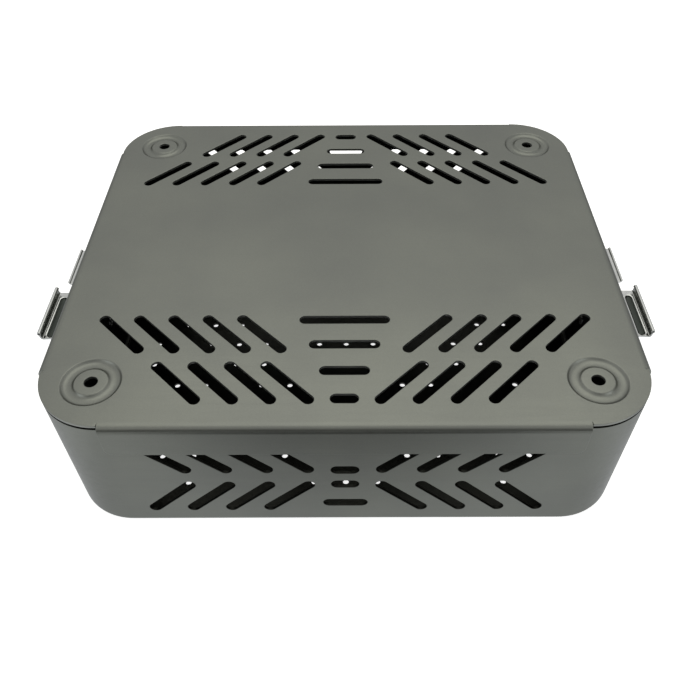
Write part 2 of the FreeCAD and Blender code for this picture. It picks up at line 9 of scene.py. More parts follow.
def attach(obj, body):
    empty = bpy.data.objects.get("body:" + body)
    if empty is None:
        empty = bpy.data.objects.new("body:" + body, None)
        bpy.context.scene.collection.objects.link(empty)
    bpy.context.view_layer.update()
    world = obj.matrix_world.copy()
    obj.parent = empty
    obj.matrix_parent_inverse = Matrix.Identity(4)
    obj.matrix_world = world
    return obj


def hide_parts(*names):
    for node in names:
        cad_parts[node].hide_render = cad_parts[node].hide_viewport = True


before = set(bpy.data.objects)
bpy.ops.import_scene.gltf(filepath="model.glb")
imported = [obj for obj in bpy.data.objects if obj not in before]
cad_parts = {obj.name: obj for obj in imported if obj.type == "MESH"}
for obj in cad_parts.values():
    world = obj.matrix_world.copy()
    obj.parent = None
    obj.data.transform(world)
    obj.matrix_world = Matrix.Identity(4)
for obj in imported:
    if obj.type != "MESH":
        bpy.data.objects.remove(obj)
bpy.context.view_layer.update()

scene = bpy.context.scene
scene.view_settings.view_transform = "Standard"

# Camera: held in front of the container and above it, looking down at 47 degrees, so close that
# the lid narrows towards the rear.

MM = 0.001
# Its place, and its lens on a sensor of 36 mm, both in millimetres.
CAMERA_AT = (3.07, -293.9, 315.6)
LENS = 37.34
# Its tilt, roll and turn, in radians.
DOWN, ROLL, PAN = 0.8276, 0.006, 0.003
camera_data = bpy.data.cameras.new("studio_camera")
camera_data.sensor_width = 36.0
camera_data.lens = LENS
camera_data.clip_start = 0.01
camera = bpy.data.objects.new("studio_camera", camera_data)
scene.collection.objects.link(camera)
scene.camera = camera
tilt = Matrix(((1, 0, 0), (0, -math.sin(DOWN), -math.cos(DOWN)), (0, math.cos(DOWN), -math.sin(DOWN))))
to_camera = Matrix.Rotation(-ROLL, 3, "Z") @ tilt @ Matrix.Rotation(-PAN, 3, "Z")
facing = to_camera.transposed() @ Matrix(((1, 0, 0), (0, -1, 0), (0, 0, -1)))
camera.matrix_world = Matrix.Translation(Vector(CAMERA_AT) * MM) @ facing.to_4x4()

# Studio: a pale floor, a pale room, one large soft lamp overhead and a tall one on each side, whose
# light runs down the container's rounded corners.


def linear(hex_colour):
    """An sRGB hex colour as linear red, green, blue and alpha."""
    parts = np.array([int(hex_colour[i:i + 2], 16) for i in (1, 3, 5)]) / 255.0
    line = np.where(parts <= 0.04045, parts / 12.92, ((parts + 0.055) / 1.055) ** 2.4)
    return (*line.tolist(), 1.0)


def add_node(tree, kind, inputs=(), **settings):
    """A shader node with its settings, and its inputs set from numbers or linked from sockets."""
    made = tree.nodes.new("ShaderNode" + kind)
    for name, setting in settings.items():
        setattr(made, name, setting)
    for name, given in dict(inputs).items():
        if isinstance(given, bpy.types.NodeSocket):
            tree.links.new(given, made.inputs[name])
        else:
            made.inputs[name].default_value = given
    return made


def empty_material(name):
    """A material with only its output node."""
    material = bpy.data.materials.new(name)
    material.use_nodes = True
    tree = material.node_tree
    tree.nodes.clear()
    return material, tree, add_node(tree, "OutputMaterial")


def sorted_rays(tree, others, mirrored, direct):
    """One shader for what the camera and transmission rays meet, one for glossy rays, and one for
    all the others, as Light Path tells them apart."""
    path = add_node(tree, "LightPath")
    seen = add_node(tree, "Math", {0: path.outputs["Is Camera Ray"], 1: path.outputs["Is Transmission Ray"]},
                    operation="MAXIMUM")
    unseen = add_node(tree, "MixShader", {0: path.outputs["Is Glossy Ray"], 1: others.outputs[0],
                                          2: mirrored.outputs[0]})
    return add_node(tree, "MixShader", {0: seen.outputs[0], 1: unseen.outputs[0], 2: direct.outputs[0]})


# The room is white to the camera. Its light and its reflection are dim along the horizon and in
# shade straight in front, behind the camera. The reflection also fades a little high up.
WHITE = (1.0, 1.0, 1.0, 1.0)
FILL = 0.40
world = bpy.data.worlds.new("pale_room")
scene.world = world
world.use_nodes = True
room = world.node_tree
room.nodes.clear()
way = add_node(room, "TexCoord").outputs["Generated"]
ahead = add_node(room, "VectorMath", {0: way, 1: (0.0, -1.0, 0.05)}, operation="DOT_PRODUCT")
front = add_node(room, "MapRange", {0: ahead.outputs["Value"], 1: 0.72, 2: 0.94, 3: 1.0, 4: 0.05})
level = add_node(room, "Math", {0: add_node(room, "SeparateXYZ", {0: way}).outputs["Z"]},
                 operation="ABSOLUTE")
belt = add_node(room, "MapRange", {0: level.outputs[0], 1: 0.0, 2: 0.35, 3: 0.30, 4: 1.0})
shade = add_node(room, "Math", {0: front.outputs[0], 1: belt.outputs[0]}, operation="MULTIPLY")
strength = add_node(room, "Math", {0: shade.outputs[0], 1: FILL}, operation="MULTIPLY")
soft_fill = add_node(room, "Background", {"Color": linear("#f2f2f0"), "Strength": strength.outputs[0]})
high = add_node(room, "MapRange", {0: level.outputs[0], 1: 0.62, 2: 0.84, 3: 1.0, 4: 0.88})
reflected = add_node(room, "Math", {0: shade.outputs[0], 1: high.outputs[0]}, operation="MULTIPLY")
mirrored = add_node(room, "Background", {"Color": WHITE, "Strength": reflected.outputs[0]})
white_wall = add_node(room, "Background", {"Color": WHITE, "Strength": 1.0})
add_node(room, "OutputWorld", {"Surface": sorted_rays(room, soft_fill, mirrored, white_wall).outputs[0]})

FLOOR_REACH, FLOOR_DOWN = 3.0, 0.0002
floor_mesh = bpy.data.meshes.new("studio_floor")
floor_mesh.from_pydata([(x * FLOOR_REACH, y * FLOOR_REACH, -FLOOR_DOWN)
                        for x, y in ((-1, -1), (1, -1), (1, 1), (-1, 1))], [], [(0, 1, 2, 3)])
floor = bpy.data.objects.new("studio_floor", floor_mesh)
scene.collection.objects.link(floor)
paper, tree, out = empty_material("pale_paper")
matt = add_node(tree, "BsdfDiffuse", {"Color": linear("#e6e6e4")})
glow = add_node(tree, "Emission", {"Color": WHITE, "Strength": 0.85})
bright = add_node(tree, "AddShader", {0: matt.outputs[0], 1: glow.outputs[0]})
spot = add_node(tree, "TexCoord").outputs["Object"]
# In reflections the paper carries painted shade in an oval in front, a painted bright ring round it, and
# fades far off.
PAINTED_SHADE_AT = (0.0, -0.42, 0.0)
oval = add_node(tree, "VectorMath", {0: spot, 1: (1.5, 1.0, 0.0)}, operation="MULTIPLY")
off = add_node(tree, "VectorMath", {0: oval.outputs[0], 1: PAINTED_SHADE_AT}, operation="DISTANCE")
dimmed = add_node(tree, "MapRange", {0: off.outputs["Value"], 1: 0.20, 2: 0.31, 3: 0.03, 4: 1.16})
far_off = add_node(tree, "MapRange", {0: off.outputs["Value"], 1: 0.31, 2: 0.58, 3: 1.0, 4: 0.60})
painted_paper_shading = add_node(tree, "Math", {0: dimmed.outputs[0], 1: far_off.outputs[0]}, operation="MULTIPLY")
# A painted pool of lamplight, seen in reflections only, lies on it beside each corner of the container and
# gives the corners their painted highlight.
PAINTED_POOL_AT = (0.195, 0.13, 0.0)
halves = add_node(tree, "VectorMath", {0: spot}, operation="ABSOLUTE")
aside = add_node(tree, "VectorMath", {0: halves.outputs[0], 1: PAINTED_POOL_AT}, operation="DISTANCE")
painted_pool = add_node(tree, "MapRange", {0: aside.outputs["Value"], 1: 0.02, 2: 0.07, 3: 0.42, 4: 0.0})
lit = add_node(tree, "Math", {0: painted_paper_shading.outputs[0], 1: painted_pool.outputs[0]}, operation="ADD")
mirrored = add_node(tree, "Emission", {"Color": (0.95, 0.97, 1.0, 1.0), "Strength": lit.outputs[0]})
tree.links.new(sorted_rays(tree, matt, mirrored, bright).outputs[0], out.inputs["Surface"])
floor_mesh.materials.append(paper)


def soft_lamp(name, place, aim, wide, tall, watts, colour):
    """A rectangular soft lamp, turned from its place towards its aim, in metres."""
    light = bpy.data.lights.new(name, "AREA")
    light.shape = "RECTANGLE"
    light.size, light.size_y = wide, tall
    light.energy = watts
    light.color = colour
    lamp = bpy.data.objects.new(name, light)
    scene.collection.objects.link(lamp)
    turn = (Vector(aim) - Vector(place)).to_track_quat("-Z", "Y")
    lamp.matrix_world = Matrix.Translation(place) @ turn.to_matrix().to_4x4()


soft_lamp("overhead_lamp", (0.10, 0.35, 1.3), (0.10, 0.35, 0.0), wide=1.4, tall=1.6, watts=6.9,
          colour=(1.0, 0.99, 0.90))
for name, lamp_side in (("left_lamp", -1), ("right_lamp", 1)):
    soft_lamp(name, (1.05 * lamp_side, -0.66, 0.35), (0.0, 0.0, 0.04), wide=0.60, tall=0.8, watts=1.7,
              colour=(0.90, 0.96, 1.0))

# Hard anodised aluminium: sheet that is cut, folded and drawn, then grown a dense grey oxide skin.
# To the eye it is a fine-grained satin grey, a little warm from above, with soft highlights.


def anodised_aluminium(name, hex_colour):
    """Satin oxide grain, faint clouds and rolling lines, all on object coordinates. The clouds make
    the colour 7 percent darker to lighter, and the grain 5 percent more."""
    material, tree, out = empty_material(name)
    place = add_node(tree, "TexCoord").outputs["Object"]
    # Grain of the etched skin, about 0.5 mm, coarser than the real one so that it shows.
    grain = add_node(tree, "TexNoise", {"Vector": place, "Scale": 1900.0, "Detail": 3.0, "Roughness": 0.6})
    # Clouds of the bath, about 60 mm.
    cloud = add_node(tree, "TexNoise", {"Vector": place, "Scale": 17.0, "Detail": 4.0, "Roughness": 0.55})
    # Faint rolling lines along the sheet, about 1.5 mm apart and long in X.
    along = add_node(tree, "Mapping", {"Vector": place, "Scale": (30.0, 700.0, 700.0)})
    rolled = add_node(tree, "TexNoise", {"Vector": along.outputs[0], "Scale": 1.0, "Detail": 2.0})
    tone = add_node(tree, "ValToRGB", {0: cloud.outputs[0]})
    red, green, blue = linear(hex_colour)[:3]
    tone.color_ramp.elements[0].position = 0.3
    tone.color_ramp.elements[0].color = (red * 0.93, green * 0.93, blue * 0.94, 1)
    tone.color_ramp.elements[1].position = 0.7
    tone.color_ramp.elements[1].color = (red * 1.07, green * 1.07, blue * 1.05, 1)
    speck = add_node(tree, "MapRange", {0: grain.outputs[0], 1: 0.3, 2: 0.7, 3: 0.95, 4: 1.05})
    colour = add_node(tree, "VectorMath", {0: tone.outputs[0], "Scale": speck.outputs[0]},
                      operation="SCALE")
    gloss = add_node(tree, "MapRange", {0: rolled.outputs[0], 1: 0.3, 2: 0.7, 3: 0.30, 4: 0.36})
    bumps = add_node(tree, "Bump", {"Height": grain.outputs[0], "Strength": 0.12, "Distance": 0.0001})
    skin = add_node(tree, "BsdfPrincipled", {
        "Base Color": colour.outputs[0], "Metallic": 0.75, "Roughness": gloss.outputs[0],
        "Specular Tint": linear("#c4c4c4"), "Normal": bumps.outputs[0]})
    tree.links.new(skin.outputs[0], out.inputs["Surface"])
    return material


anodised = anodised_aluminium("hard_anodised_aluminium", "#70726c")
# The inner faces and the tray's cut edges are painted darker: painted shade inside the container and in its
# slots.
anodised_painted_shade = anodised_aluminium("hard_anodised_inner_face_painted_shade", "#2d2e2a")
# The lid's cut edges are painted paler: a painted highlight along them.
anodised_edge_highlight = anodised_aluminium("hard_anodised_edge_painted_highlight", "#80827d")

# Lid: one blank of 1.5 mm sheet with steam slots and four pressed rings. Its four flanges are
# folded down over the tray, and stop short of the rounded corners.

LID_HALF = np.array((134.55, 118.3))
LID_TOP = 77.0
SHEET = 1.5
LID_FIT = 0.5
PLATE_HALF = LID_HALF - SHEET - LID_FIT
CORNER = 30.0
FOLD = 3.5
FLANGE_DROP = 18.0
# Half lengths of the end flanges and of the front and rear ones.
FLANGE_HALF = np.array((86.0, 101.5))
FLANGE_CORNER = 4.0
# How far the plate is cut back past a flange's end, at the front and rear, and at the ends.
NOTCH, END_NOTCH = 0.12, 0.1
# Rings: how far out their middles are, a groove's outer and inner radius and depth, the hole's
# radius, and how far past the groove the sheet's triangles follow it.
RING_AT = np.array((109.1, 92.6))
RING_OUTER, RING_INNER, RING_DEPTH, RING_HOLE = 13.2, 7.2, 1.5, 3.0
RING_SPREAD = 0.3
# Slots: their ends' radius, the slanted ones' half run each way and their pitch, and each slanted
# row's count, first slot and way out.
SLOT = 2.55
SLOT_REACH = 9.5
LID_PITCH = 16.0
OUTER_COUNT, OUTER_FIRST, OUTER_OUT = 4, 24.8, 93.2
INNER_COUNT, INNER_FIRST, INNER_OUT = 5, 38.0, 64.2
# Straight slots: the count, the longest one and how much shorter each next one is, the innermost
# one's way out and the pitch.
BAR_COUNT, BAR_LONGEST, BAR_SHORTER, BAR_OUT, BAR_PITCH = 4, 42.0, 9.9, 55.4, 15.6
# Lines this far inside each fold keep the flat sheet's shading from running into the fold's.
EASE = 0.35
BEND_STEPS = 8
# A fold's length along the sheet: a quarter circle.
BEND = FOLD * math.pi / 2


def arc(centre, radius, start, end, steps):
    """Points on a circle: the centre plus the radius times the cosine and sine of even steps from a
    start to an end angle in degrees."""
    turn = np.radians(np.linspace(start, end, steps + 1))
    return np.asarray(centre) + radius * np.stack([np.cos(turn), np.sin(turn)], 1)


def slot_outline(middle, half_run, radius=SLOT, steps=12):
    """A round-ended slot: two half circles about its end centres, the middle plus and minus the run."""
    middle, half_run = np.asarray(middle, float), np.asarray(half_run, float)
    lean = math.degrees(math.atan2(half_run[1], half_run[0]))
    return np.concatenate([arc(middle + half_run, radius, lean - 90, lean + 90, steps),
                           arc(middle - half_run, radius, lean + 90, lean + 270, steps)])


def inside(points, loop):
    """Whether points are inside a convex loop: on the same side of every edge."""
    ahead = np.roll(loop, -1, 0) - loop
    away = points[:, None, :] - loop[None, :, :]
    side = ahead[None, :, 0] * away[:, :, 1] - ahead[None, :, 1] * away[:, :, 0]
    return (side > 0).all(1) | (side < 0).all(1)


def cut_sheet(outer, holes=(), marks=()):
    """A flat sheet in triangles: the outline filled, less its holes. Marks are open lines of points
    that the triangles follow, so that the sheet can be bent or pressed there. Returns points, faces."""
    points, edges, start = [], [], 0
    loops = [outer, *holes]
    for number, loop in enumerate([*loops, *marks]):
        count = len(loop)
        index = start + np.arange(count)
        pairs = np.stack([index, np.roll(index, -1)], 1)
        edges.append(pairs if number < len(loops) else pairs[:-1])
        points.append(loop)
        start += count
    points, edges = np.concatenate(points), np.concatenate(edges)
    # Output type 1 fills what the outline encloses.
    found = delaunay_2d_cdt([Vector(p) for p in points], edges.tolist(), [], 1, 1e-5)
    spots = np.array([(p.x, p.y) for p in found[0]])
    faces = np.array([face for face in found[2] if len(face) == 3])
    middle = spots[faces].mean(1)
    keep = np.ones(len(faces), bool)
    for hole in holes:
        keep &= ~inside(middle, np.asarray(hole))
    faces = faces[keep]
    a, b, c = (spots[faces[:, n]] for n in range(3))
    over = (b - a)[:, 0] * (c - a)[:, 1] - (b - a)[:, 1] * (c - a)[:, 0] < 0
    faces[over] = faces[over][:, ::-1]
    return spots, faces


def join(parts):
    """Several (points, faces) as one, with points that coincide merged: those equal to the nearest
    thousandth of a millimetre, counted from an odd offset that no size falls on."""
    start, points, faces = 0, [], []
    for spots, corners in parts:
        points.append(spots)
        faces.append(corners + start)
        start += len(spots)
    points, faces = np.concatenate(points), np.concatenate(faces)
    places = np.round(points + 0.00013, 3)
    places, first, where = np.unique(places, axis=0, return_index=True, return_inverse=True)
    return points[first], where.reshape(-1)[faces]


def aimed(spots, corners, way):
    """The patch, with its faces turned over if the sum of their normals points against a direction."""
    a, b, c = (spots[corners[:, n]] for n in range(3))
    facing = np.cross(b - a, c - a).sum(0) @ np.asarray(way, float)
    return (spots, corners if facing > 0 else corners[:, ::-1])


def make_piece(name, points, faces, finishes, body, slot):
    """A smooth-shaded mesh of points in millimetres, riding on a body of the frame."""
    mesh = bpy.data.meshes.new(name)
    mesh.from_pydata(points * MM, [], faces.tolist())
    mesh.polygons.foreach_set("use_smooth", np.ones(len(mesh.polygons), bool))
    for finish in finishes:
        mesh.materials.append(finish)
    mesh.update()
    piece = bpy.data.objects.new(name, mesh)
    scene.collection.objects.link(piece)
    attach(piece, body)
    return piece


def finish_sheet(piece, thickness, edge, inner=1, rim=2):
    """The sheet's thickness, grown inwards, and its cut edges broken by a small round. Inner and rim
    say how many materials further on the inner face and the cut edges are, up to the last one."""
    wall = piece.modifiers.new("thickness", "SOLIDIFY")
    wall.thickness = thickness * MM
    wall.offset = -1.0
    wall.use_even_offset = True
    wall.material_offset = inner
    wall.material_offset_rim = rim
    soft = piece.modifiers.new("broken_edges", "BEVEL")
    soft.width = edge * MM
    soft.segments = 2
    soft.limit_method = "ANGLE"
    soft.angle_limit = math.radians(50)
    soft.use_clamp_overlap = False
    flat = piece.modifiers.new("flat_faces", "WEIGHTED_NORMAL")
    flat.keep_sharp = True


lid_slots = []
for mirror_x in (-1, 1):
    for mirror_y in (-1, 1):
        run = (-SLOT_REACH * mirror_x, SLOT_REACH * mirror_y)
        for count, first, out in ((OUTER_COUNT, OUTER_FIRST, OUTER_OUT),
                                  (INNER_COUNT, INNER_FIRST, INNER_OUT)):
            for number in range(count):
                middle = (mirror_x * (first + LID_PITCH * number), mirror_y * out)
                lid_slots.append(slot_outline(middle, run))
for mirror_y in (-1, 1):
    for number in range(BAR_COUNT):
        half = (BAR_LONGEST - BAR_SHORTER * number) / 2 - SLOT
        lid_slots.append(slot_outline((0, mirror_y * (BAR_OUT + BAR_PITCH * number)), (half, 0)))

ring_spots = [RING_AT * (x, y) for x in (-1, 1) for y in (-1, 1)]
ring_holes = [arc(spot, RING_HOLE, 0, 360, 40)[:-1] for spot in ring_spots]
ring_lines = [arc(spot, radius, 0, 360, 64) for spot in ring_spots
              for radius in np.linspace(RING_INNER - RING_SPREAD, RING_OUTER + RING_SPREAD, 19)]

fold_at = LID_HALF - FOLD
quarter = np.concatenate([
    [(FLANGE_HALF[1], fold_at[1]), (FLANGE_HALF[1] + NOTCH, fold_at[1]),
     (FLANGE_HALF[1] + NOTCH, PLATE_HALF[1])],
    arc(PLATE_HALF - CORNER, CORNER, 90, 0, 24),
    [(PLATE_HALF[0], FLANGE_HALF[0] + END_NOTCH), (fold_at[0], FLANGE_HALF[0] + END_NOTCH),
     (fold_at[0], FLANGE_HALF[0])]])


def all_round(first):
    """The whole outline from its first quarter, mirrored in X and in Y."""
    return np.concatenate([first, first[::-1] * (1, -1), first * (-1, -1), first[::-1] * (-1, 1)])


flat_lines = [np.array([(-FLANGE_HALF[1], y), (FLANGE_HALF[1], y)])
              for y in (EASE - fold_at[1], fold_at[1] - EASE)]
flat_lines += [np.array([(x, -FLANGE_HALF[0]), (x, FLANGE_HALF[0])])
               for x in (EASE - fold_at[0], fold_at[0] - EASE)]
plate_flat, plate_faces = cut_sheet(all_round(quarter), lid_slots + ring_holes, ring_lines + flat_lines)


def pressed(spots):
    """Height of the plate: level, but sunk round each ring centre by depth * (1 - |2t - 1| ** 3),
    with t from 0 to 1 across the groove."""
    sink = np.zeros(len(spots))
    for spot in ring_spots:
        t = (np.linalg.norm(spots - spot, axis=1) - RING_INNER) / (RING_OUTER - RING_INNER)
        t = np.clip(t, 0, 1)
        sink += RING_DEPTH * (1 - np.abs(2 * t - 1) ** 3)
    return LID_TOP - sink


plate = np.column_stack([plate_flat, pressed(plate_flat)])


def folded(spots, side):
    """A flange: along its side it stays as cut, and outwards it turns down through a quarter circle
    of the fold's radius and then hangs straight. Side is 0 for a flange along Y and 1 along X."""
    along, out = spots[:, 0], spots[:, 1]
    turn = np.clip(out / FOLD, 0, math.pi / 2)
    hang = np.clip(out - BEND, 0, None)
    reach = fold_at[side] + FOLD * np.sin(turn)
    height = LID_TOP - FOLD * (1 - np.cos(turn)) - hang
    return np.column_stack([reach, along, height] if side == 0 else [-along, reach, height])


lid_parts = [(plate, plate_faces)]
for side, way in ((0, np.array((1, 0, 0))), (1, np.array((0, 1, 0)))):
    half, deep = FLANGE_HALF[side], BEND + FLANGE_DROP - FOLD
    shape = np.concatenate([
        [(-half, 0), (half, 0)],
        arc((half - FLANGE_CORNER, deep - FLANGE_CORNER), FLANGE_CORNER, 0, 90, 12),
        arc((-half + FLANGE_CORNER, deep - FLANGE_CORNER), FLANGE_CORNER, 90, 180, 12)])
    steps = [BEND * step / BEND_STEPS for step in range(1, BEND_STEPS + 1)] + [BEND + EASE]
    lines = [np.array([(-half, q), (half, q)]) for q in steps]
    flat, corners = cut_sheet(shape, (), lines)
    flange = folded(flat, side)
    lid_parts.append(aimed(flange, corners, way))
    lid_parts.append(aimed(flange * (-1, -1, 1), corners, -way))
lid_points, lid_faces = join(lid_parts)
lid_piece = make_piece("lid_sheet", lid_points, lid_faces, (anodised, anodised_painted_shade, anodised_edge_highlight),
                      "lid", "anodised_aluminium")
finish_sheet(lid_piece, SHEET, edge=0.2)
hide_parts("lid")

# Tray: drawn from one sheet, with upright corners of 30 mm and a bend of 4 mm to the floor. Front
# and rear walls are slotted, the end walls carry the latches, and the floor is drilled all over.

RIM = 74.3
TRAY_BEND = 4.0
# The floor bend's end, as a height measured along the sheet.
WALL_FOOT = TRAY_BEND * (1 - math.pi / 2)
# Chevrons: how many on each half of a row, the first one's way out, their pitch, and each row's
# distance from the middle height.
WALL_COUNT, WALL_FIRST, WALL_PITCH, WALL_ROW_OFF = 4, 26.0, 18.05, 15.8
# Short bars, above and below the middle height: how far off, and how long.
WALL_BARS = ((5.7, 12.7), (21.5, 20.7))
# Each long wall's side, the middle height of its slots and their ends' radius. The photograph shows
# the rear wall's slots lower and narrower than the front wall's.
LONG_WALLS = ((-1, 38.4, 2.85), (1, 36.9, 2.55))
# Drain holes: their radius and pitch, and how many each way from the middle one.
DRAIN, DRAIN_PITCH, DRAINS_OUT_X, DRAINS_OUT_Y = 1.55, 15.84, 7, 6
# Heights at which the walls' triangles follow the sheet.
heights = np.concatenate([[RIM, TRAY_BEND + EASE], np.linspace(TRAY_BEND, WALL_FOOT, BEND_STEPS + 1)])


def wall_profile(height):
    """How far in from the wall's face a point is, and its real height. Height is measured along the
    sheet: below the bend's top it runs through a quarter circle to the level floor."""
    turn = np.clip((TRAY_BEND - height) / TRAY_BEND, 0, math.pi / 2)
    up = np.where(height > TRAY_BEND, height, TRAY_BEND * (1 - np.sin(turn)))
    return TRAY_BEND * (1 - np.cos(turn)), up


def grid(first, second):
    """A grid of two parameters as flat arrays, and its triangles."""
    u, v = np.meshgrid(first, second, indexing="ij")
    index = np.arange(u.size).reshape(u.shape)
    a, b, c, d = index[:-1, :-1], index[1:, :-1], index[1:, 1:], index[:-1, 1:]
    quads = np.stack([a, b, c, d], -1).reshape(-1, 4)
    return u.ravel(), v.ravel(), np.concatenate([quads[:, (0, 1, 2)], quads[:, (0, 2, 3)]])


def wall_slot_outlines(middle, radius):
    """The chevrons and short bars of one long wall, about a middle height, and their ends' radius."""
    slots = []
    for mirror in (-1, 1):
        for number in range(WALL_COUNT):
            across = mirror * (WALL_FIRST + WALL_PITCH * number)
            for up in (-1, 1):
                run = (-SLOT_REACH * mirror, -SLOT_REACH * up)
                slots.append(slot_outline((across, middle + WALL_ROW_OFF * up), run, radius))
        for off, length in WALL_BARS:
            slots.append(slot_outline((0, middle + mirror * off), (length / 2 - radius, 0), radius))
    return slots


straight = PLATE_HALF - CORNER
wall_shape = np.array([(-straight[0], WALL_FOOT), (straight[0], WALL_FOOT),
                       (straight[0], RIM), (-straight[0], RIM)])
side_marks = [np.array([(x, WALL_FOOT), (x, RIM)]) for x in (EASE - straight[0], straight[0] - EASE)]
bend_marks = [np.array([(-straight[0], h), (straight[0], h)]) for h in heights[1:-1]]
tray_parts = []
for facing, middle, radius in LONG_WALLS:
    wall_flat, wall_faces = cut_sheet(wall_shape, wall_slot_outlines(middle, radius),
                                      bend_marks + side_marks)
    inward, up = wall_profile(wall_flat[:, 1])
    wall = np.column_stack([wall_flat[:, 0], facing * (PLATE_HALF[1] - inward), up])
    tray_parts.append(aimed(wall, wall_faces, (0, facing, 0)))

end_lines = np.array((-straight[1], EASE - straight[1], straight[1] - EASE, straight[1]))
along, height, end_faces = grid(end_lines, heights)
inward, up = wall_profile(height)
end = np.column_stack([PLATE_HALF[0] - inward, along, up])
tray_parts += [aimed(end, end_faces, (1, 0, 0)), aimed(end * (-1, 1, 1), end_faces, (-1, 0, 0))]

turn, height, corner_faces = grid(np.radians(np.linspace(0, 90, 25)), heights)
inward, up = wall_profile(height)
for x, y in ((1, 1), (-1, 1), (-1, -1), (1, -1)):
    away = CORNER - inward
    corner = np.column_stack([x * (straight[0] + away * np.cos(turn)),
                              y * (straight[1] + away * np.sin(turn)), up])
    tray_parts.append(aimed(corner, corner_faces, (x, y, 0)))


def floor_outline(radius):
    """The floor's rounded rectangle, with its corners' centres kept and their radius given."""
    return all_round(arc(straight, radius, 90, 0, 24))


floor_shape = floor_outline(CORNER - TRAY_BEND)
floor_line = floor_outline(CORNER - TRAY_BEND - EASE)
drains = [arc((DRAIN_PITCH * column, DRAIN_PITCH * row), DRAIN, 0, 360, 12)[:-1]
          for column in range(-DRAINS_OUT_X, DRAINS_OUT_X + 1)
          for row in range(-DRAINS_OUT_Y, DRAINS_OUT_Y + 1)]
floor_flat, floor_faces = cut_sheet(floor_shape, drains, [np.concatenate([floor_line, floor_line[:1]])])
bottom = np.column_stack([floor_flat, np.zeros(len(floor_flat))])
tray_parts.append(aimed(bottom, floor_faces, (0, 0, -1)))

tray_points, tray_faces = join(tray_parts)
tray_piece = make_piece("drawn_tray", tray_points, tray_faces, (anodised, anodised_painted_shade), "base",
                        "anodised_aluminium")
finish_sheet(tray_piece, SHEET, edge=0.2)
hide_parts("base_tray")

# Rivets: stainless, set cold through the sheets, so the outer head is a low dome and the inner one a
# flat button. Four hold each bracket to the tray and two hold each keeper to the lid.

# The tray's end walls, then the hinge pins' axes: how far beyond the walls, and how high.
WALL_X = PLATE_HALF[0]
PIN_OUT, PIN_Z = 4.95, 35.2
LATCH_SHEET = 1.0
# The head's radius and rise, the shank's radius, and the thickness that it holds together.
HEAD, HEAD_RISE, SHANK, GRIP = 2.6, 1.2, 1.5, 2.5
# The inner button's straight edge, its whole rise, and its face's radius.
BUTTON_EDGE, BUTTON_RISE, BUTTON_FACE = 0.5, 0.8, 2.3
# Bracket rivets, out from the middle and up from the pin.
BRACKET_RIVET_OUT, BRACKET_RIVET_UP = 9.0, 6.0
# Keeper rivets, out from the middle, their height, and the keeper's face that their heads sit on.
KEEPER_RIVET_OUT, KEEPER_RIVET_Z = 8.0, 67.5
KEEPER_FACE = LID_FIT + SHEET + LATCH_SHEET
# Edges that turn by more than this stay sharp.
HEAD_SHARP = math.radians(40)


def stainless_steel(name, hex_colour, roughness, lines):
    """Bright rolled or turned stainless: fine lines that vary the gloss, and faint rub marks."""
    material, tree, out = empty_material(name)
    place = add_node(tree, "TexCoord").outputs["Object"]
    # Grinding lines, 0.4 mm apart across their run, so that they show at this size.
    stretch = add_node(tree, "Mapping", {"Vector": place, "Scale": lines})
    line = add_node(tree, "TexNoise", {"Vector": stretch.outputs[0], "Scale": 1.0, "Detail": 3.0})
    # Rub marks and fingerprints, about 12 mm.
    marks = add_node(tree, "TexNoise", {"Vector": place, "Scale": 80.0, "Detail": 5.0, "Roughness": 0.6})
    red, green, blue = linear(hex_colour)[:3]
    tone = add_node(tree, "ValToRGB", {0: marks.outputs[0]})
    tone.color_ramp.elements[0].position = 0.35
    tone.color_ramp.elements[0].color = (red * 0.88, green * 0.88, blue * 0.88, 1)
    tone.color_ramp.elements[1].position = 0.65
    tone.color_ramp.elements[1].color = (red, green, blue, 1)
    gloss = add_node(tree, "MapRange", {0: line.outputs[0], 1: 0.3, 2: 0.7,
                                        3: roughness - 0.05, 4: roughness + 0.09})
    bumps = add_node(tree, "Bump", {"Height": line.outputs[0], "Strength": 0.10, "Distance": 0.00005})
    skin = add_node(tree, "BsdfPrincipled", {
        "Base Color": tone.outputs[0], "Metallic": 1.0, "Roughness": gloss.outputs[0],
        "Normal": bumps.outputs[0]})
    tree.links.new(skin.outputs[0], out.inputs["Surface"])
    return material


rivet_steel = stainless_steel("headed_stainless_rivet", "#b9b9b6", 0.30, (900.0, 900.0, 900.0))


def turned(profile, place, way, steps=28):
    """A profile of (radius, reach) carried round an axis: the axis goes through the place along X for
    way 1 or -1, or along Y for way 2. Ends of radius 0 close it, and its faces point outwards."""
    profile = np.asarray(profile, float)
    index, turn, faces = grid(np.arange(len(profile)), np.linspace(0, 2 * math.pi, steps + 1))
    radius, reach = profile[index.astype(int), 0], profile[index.astype(int), 1]
    first, second = radius * np.cos(turn), radius * np.sin(turn)
    spots = (np.column_stack([first, reach, second]) if way == 2 else
             np.column_stack([way * reach, first, second])) + np.asarray(place, float)
    points, faces = join([(spots, faces)])
    a, b, c = (points[faces[:, n]] for n in range(3))
    # Faces without area, at the closed ends, are left out.
    faces = faces[np.linalg.norm(np.cross(b - a, c - a), axis=1) > 1e-9]
    a, b, c = (points[faces[:, n]] for n in range(3))
    volume = np.einsum("ij,ij->i", a, np.cross(b, c)).sum()
    return points, faces if volume > 0 else faces[:, ::-1]


def headed(name, points, faces, body, slot):
    """A turned piece with its corners sharp, in place of the node that it is named for."""
    piece = make_piece("headed_" + name, points, faces, (rivet_steel,), body, slot)
    piece.data.set_sharp_from_angle(angle=HEAD_SHARP)
    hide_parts(name)


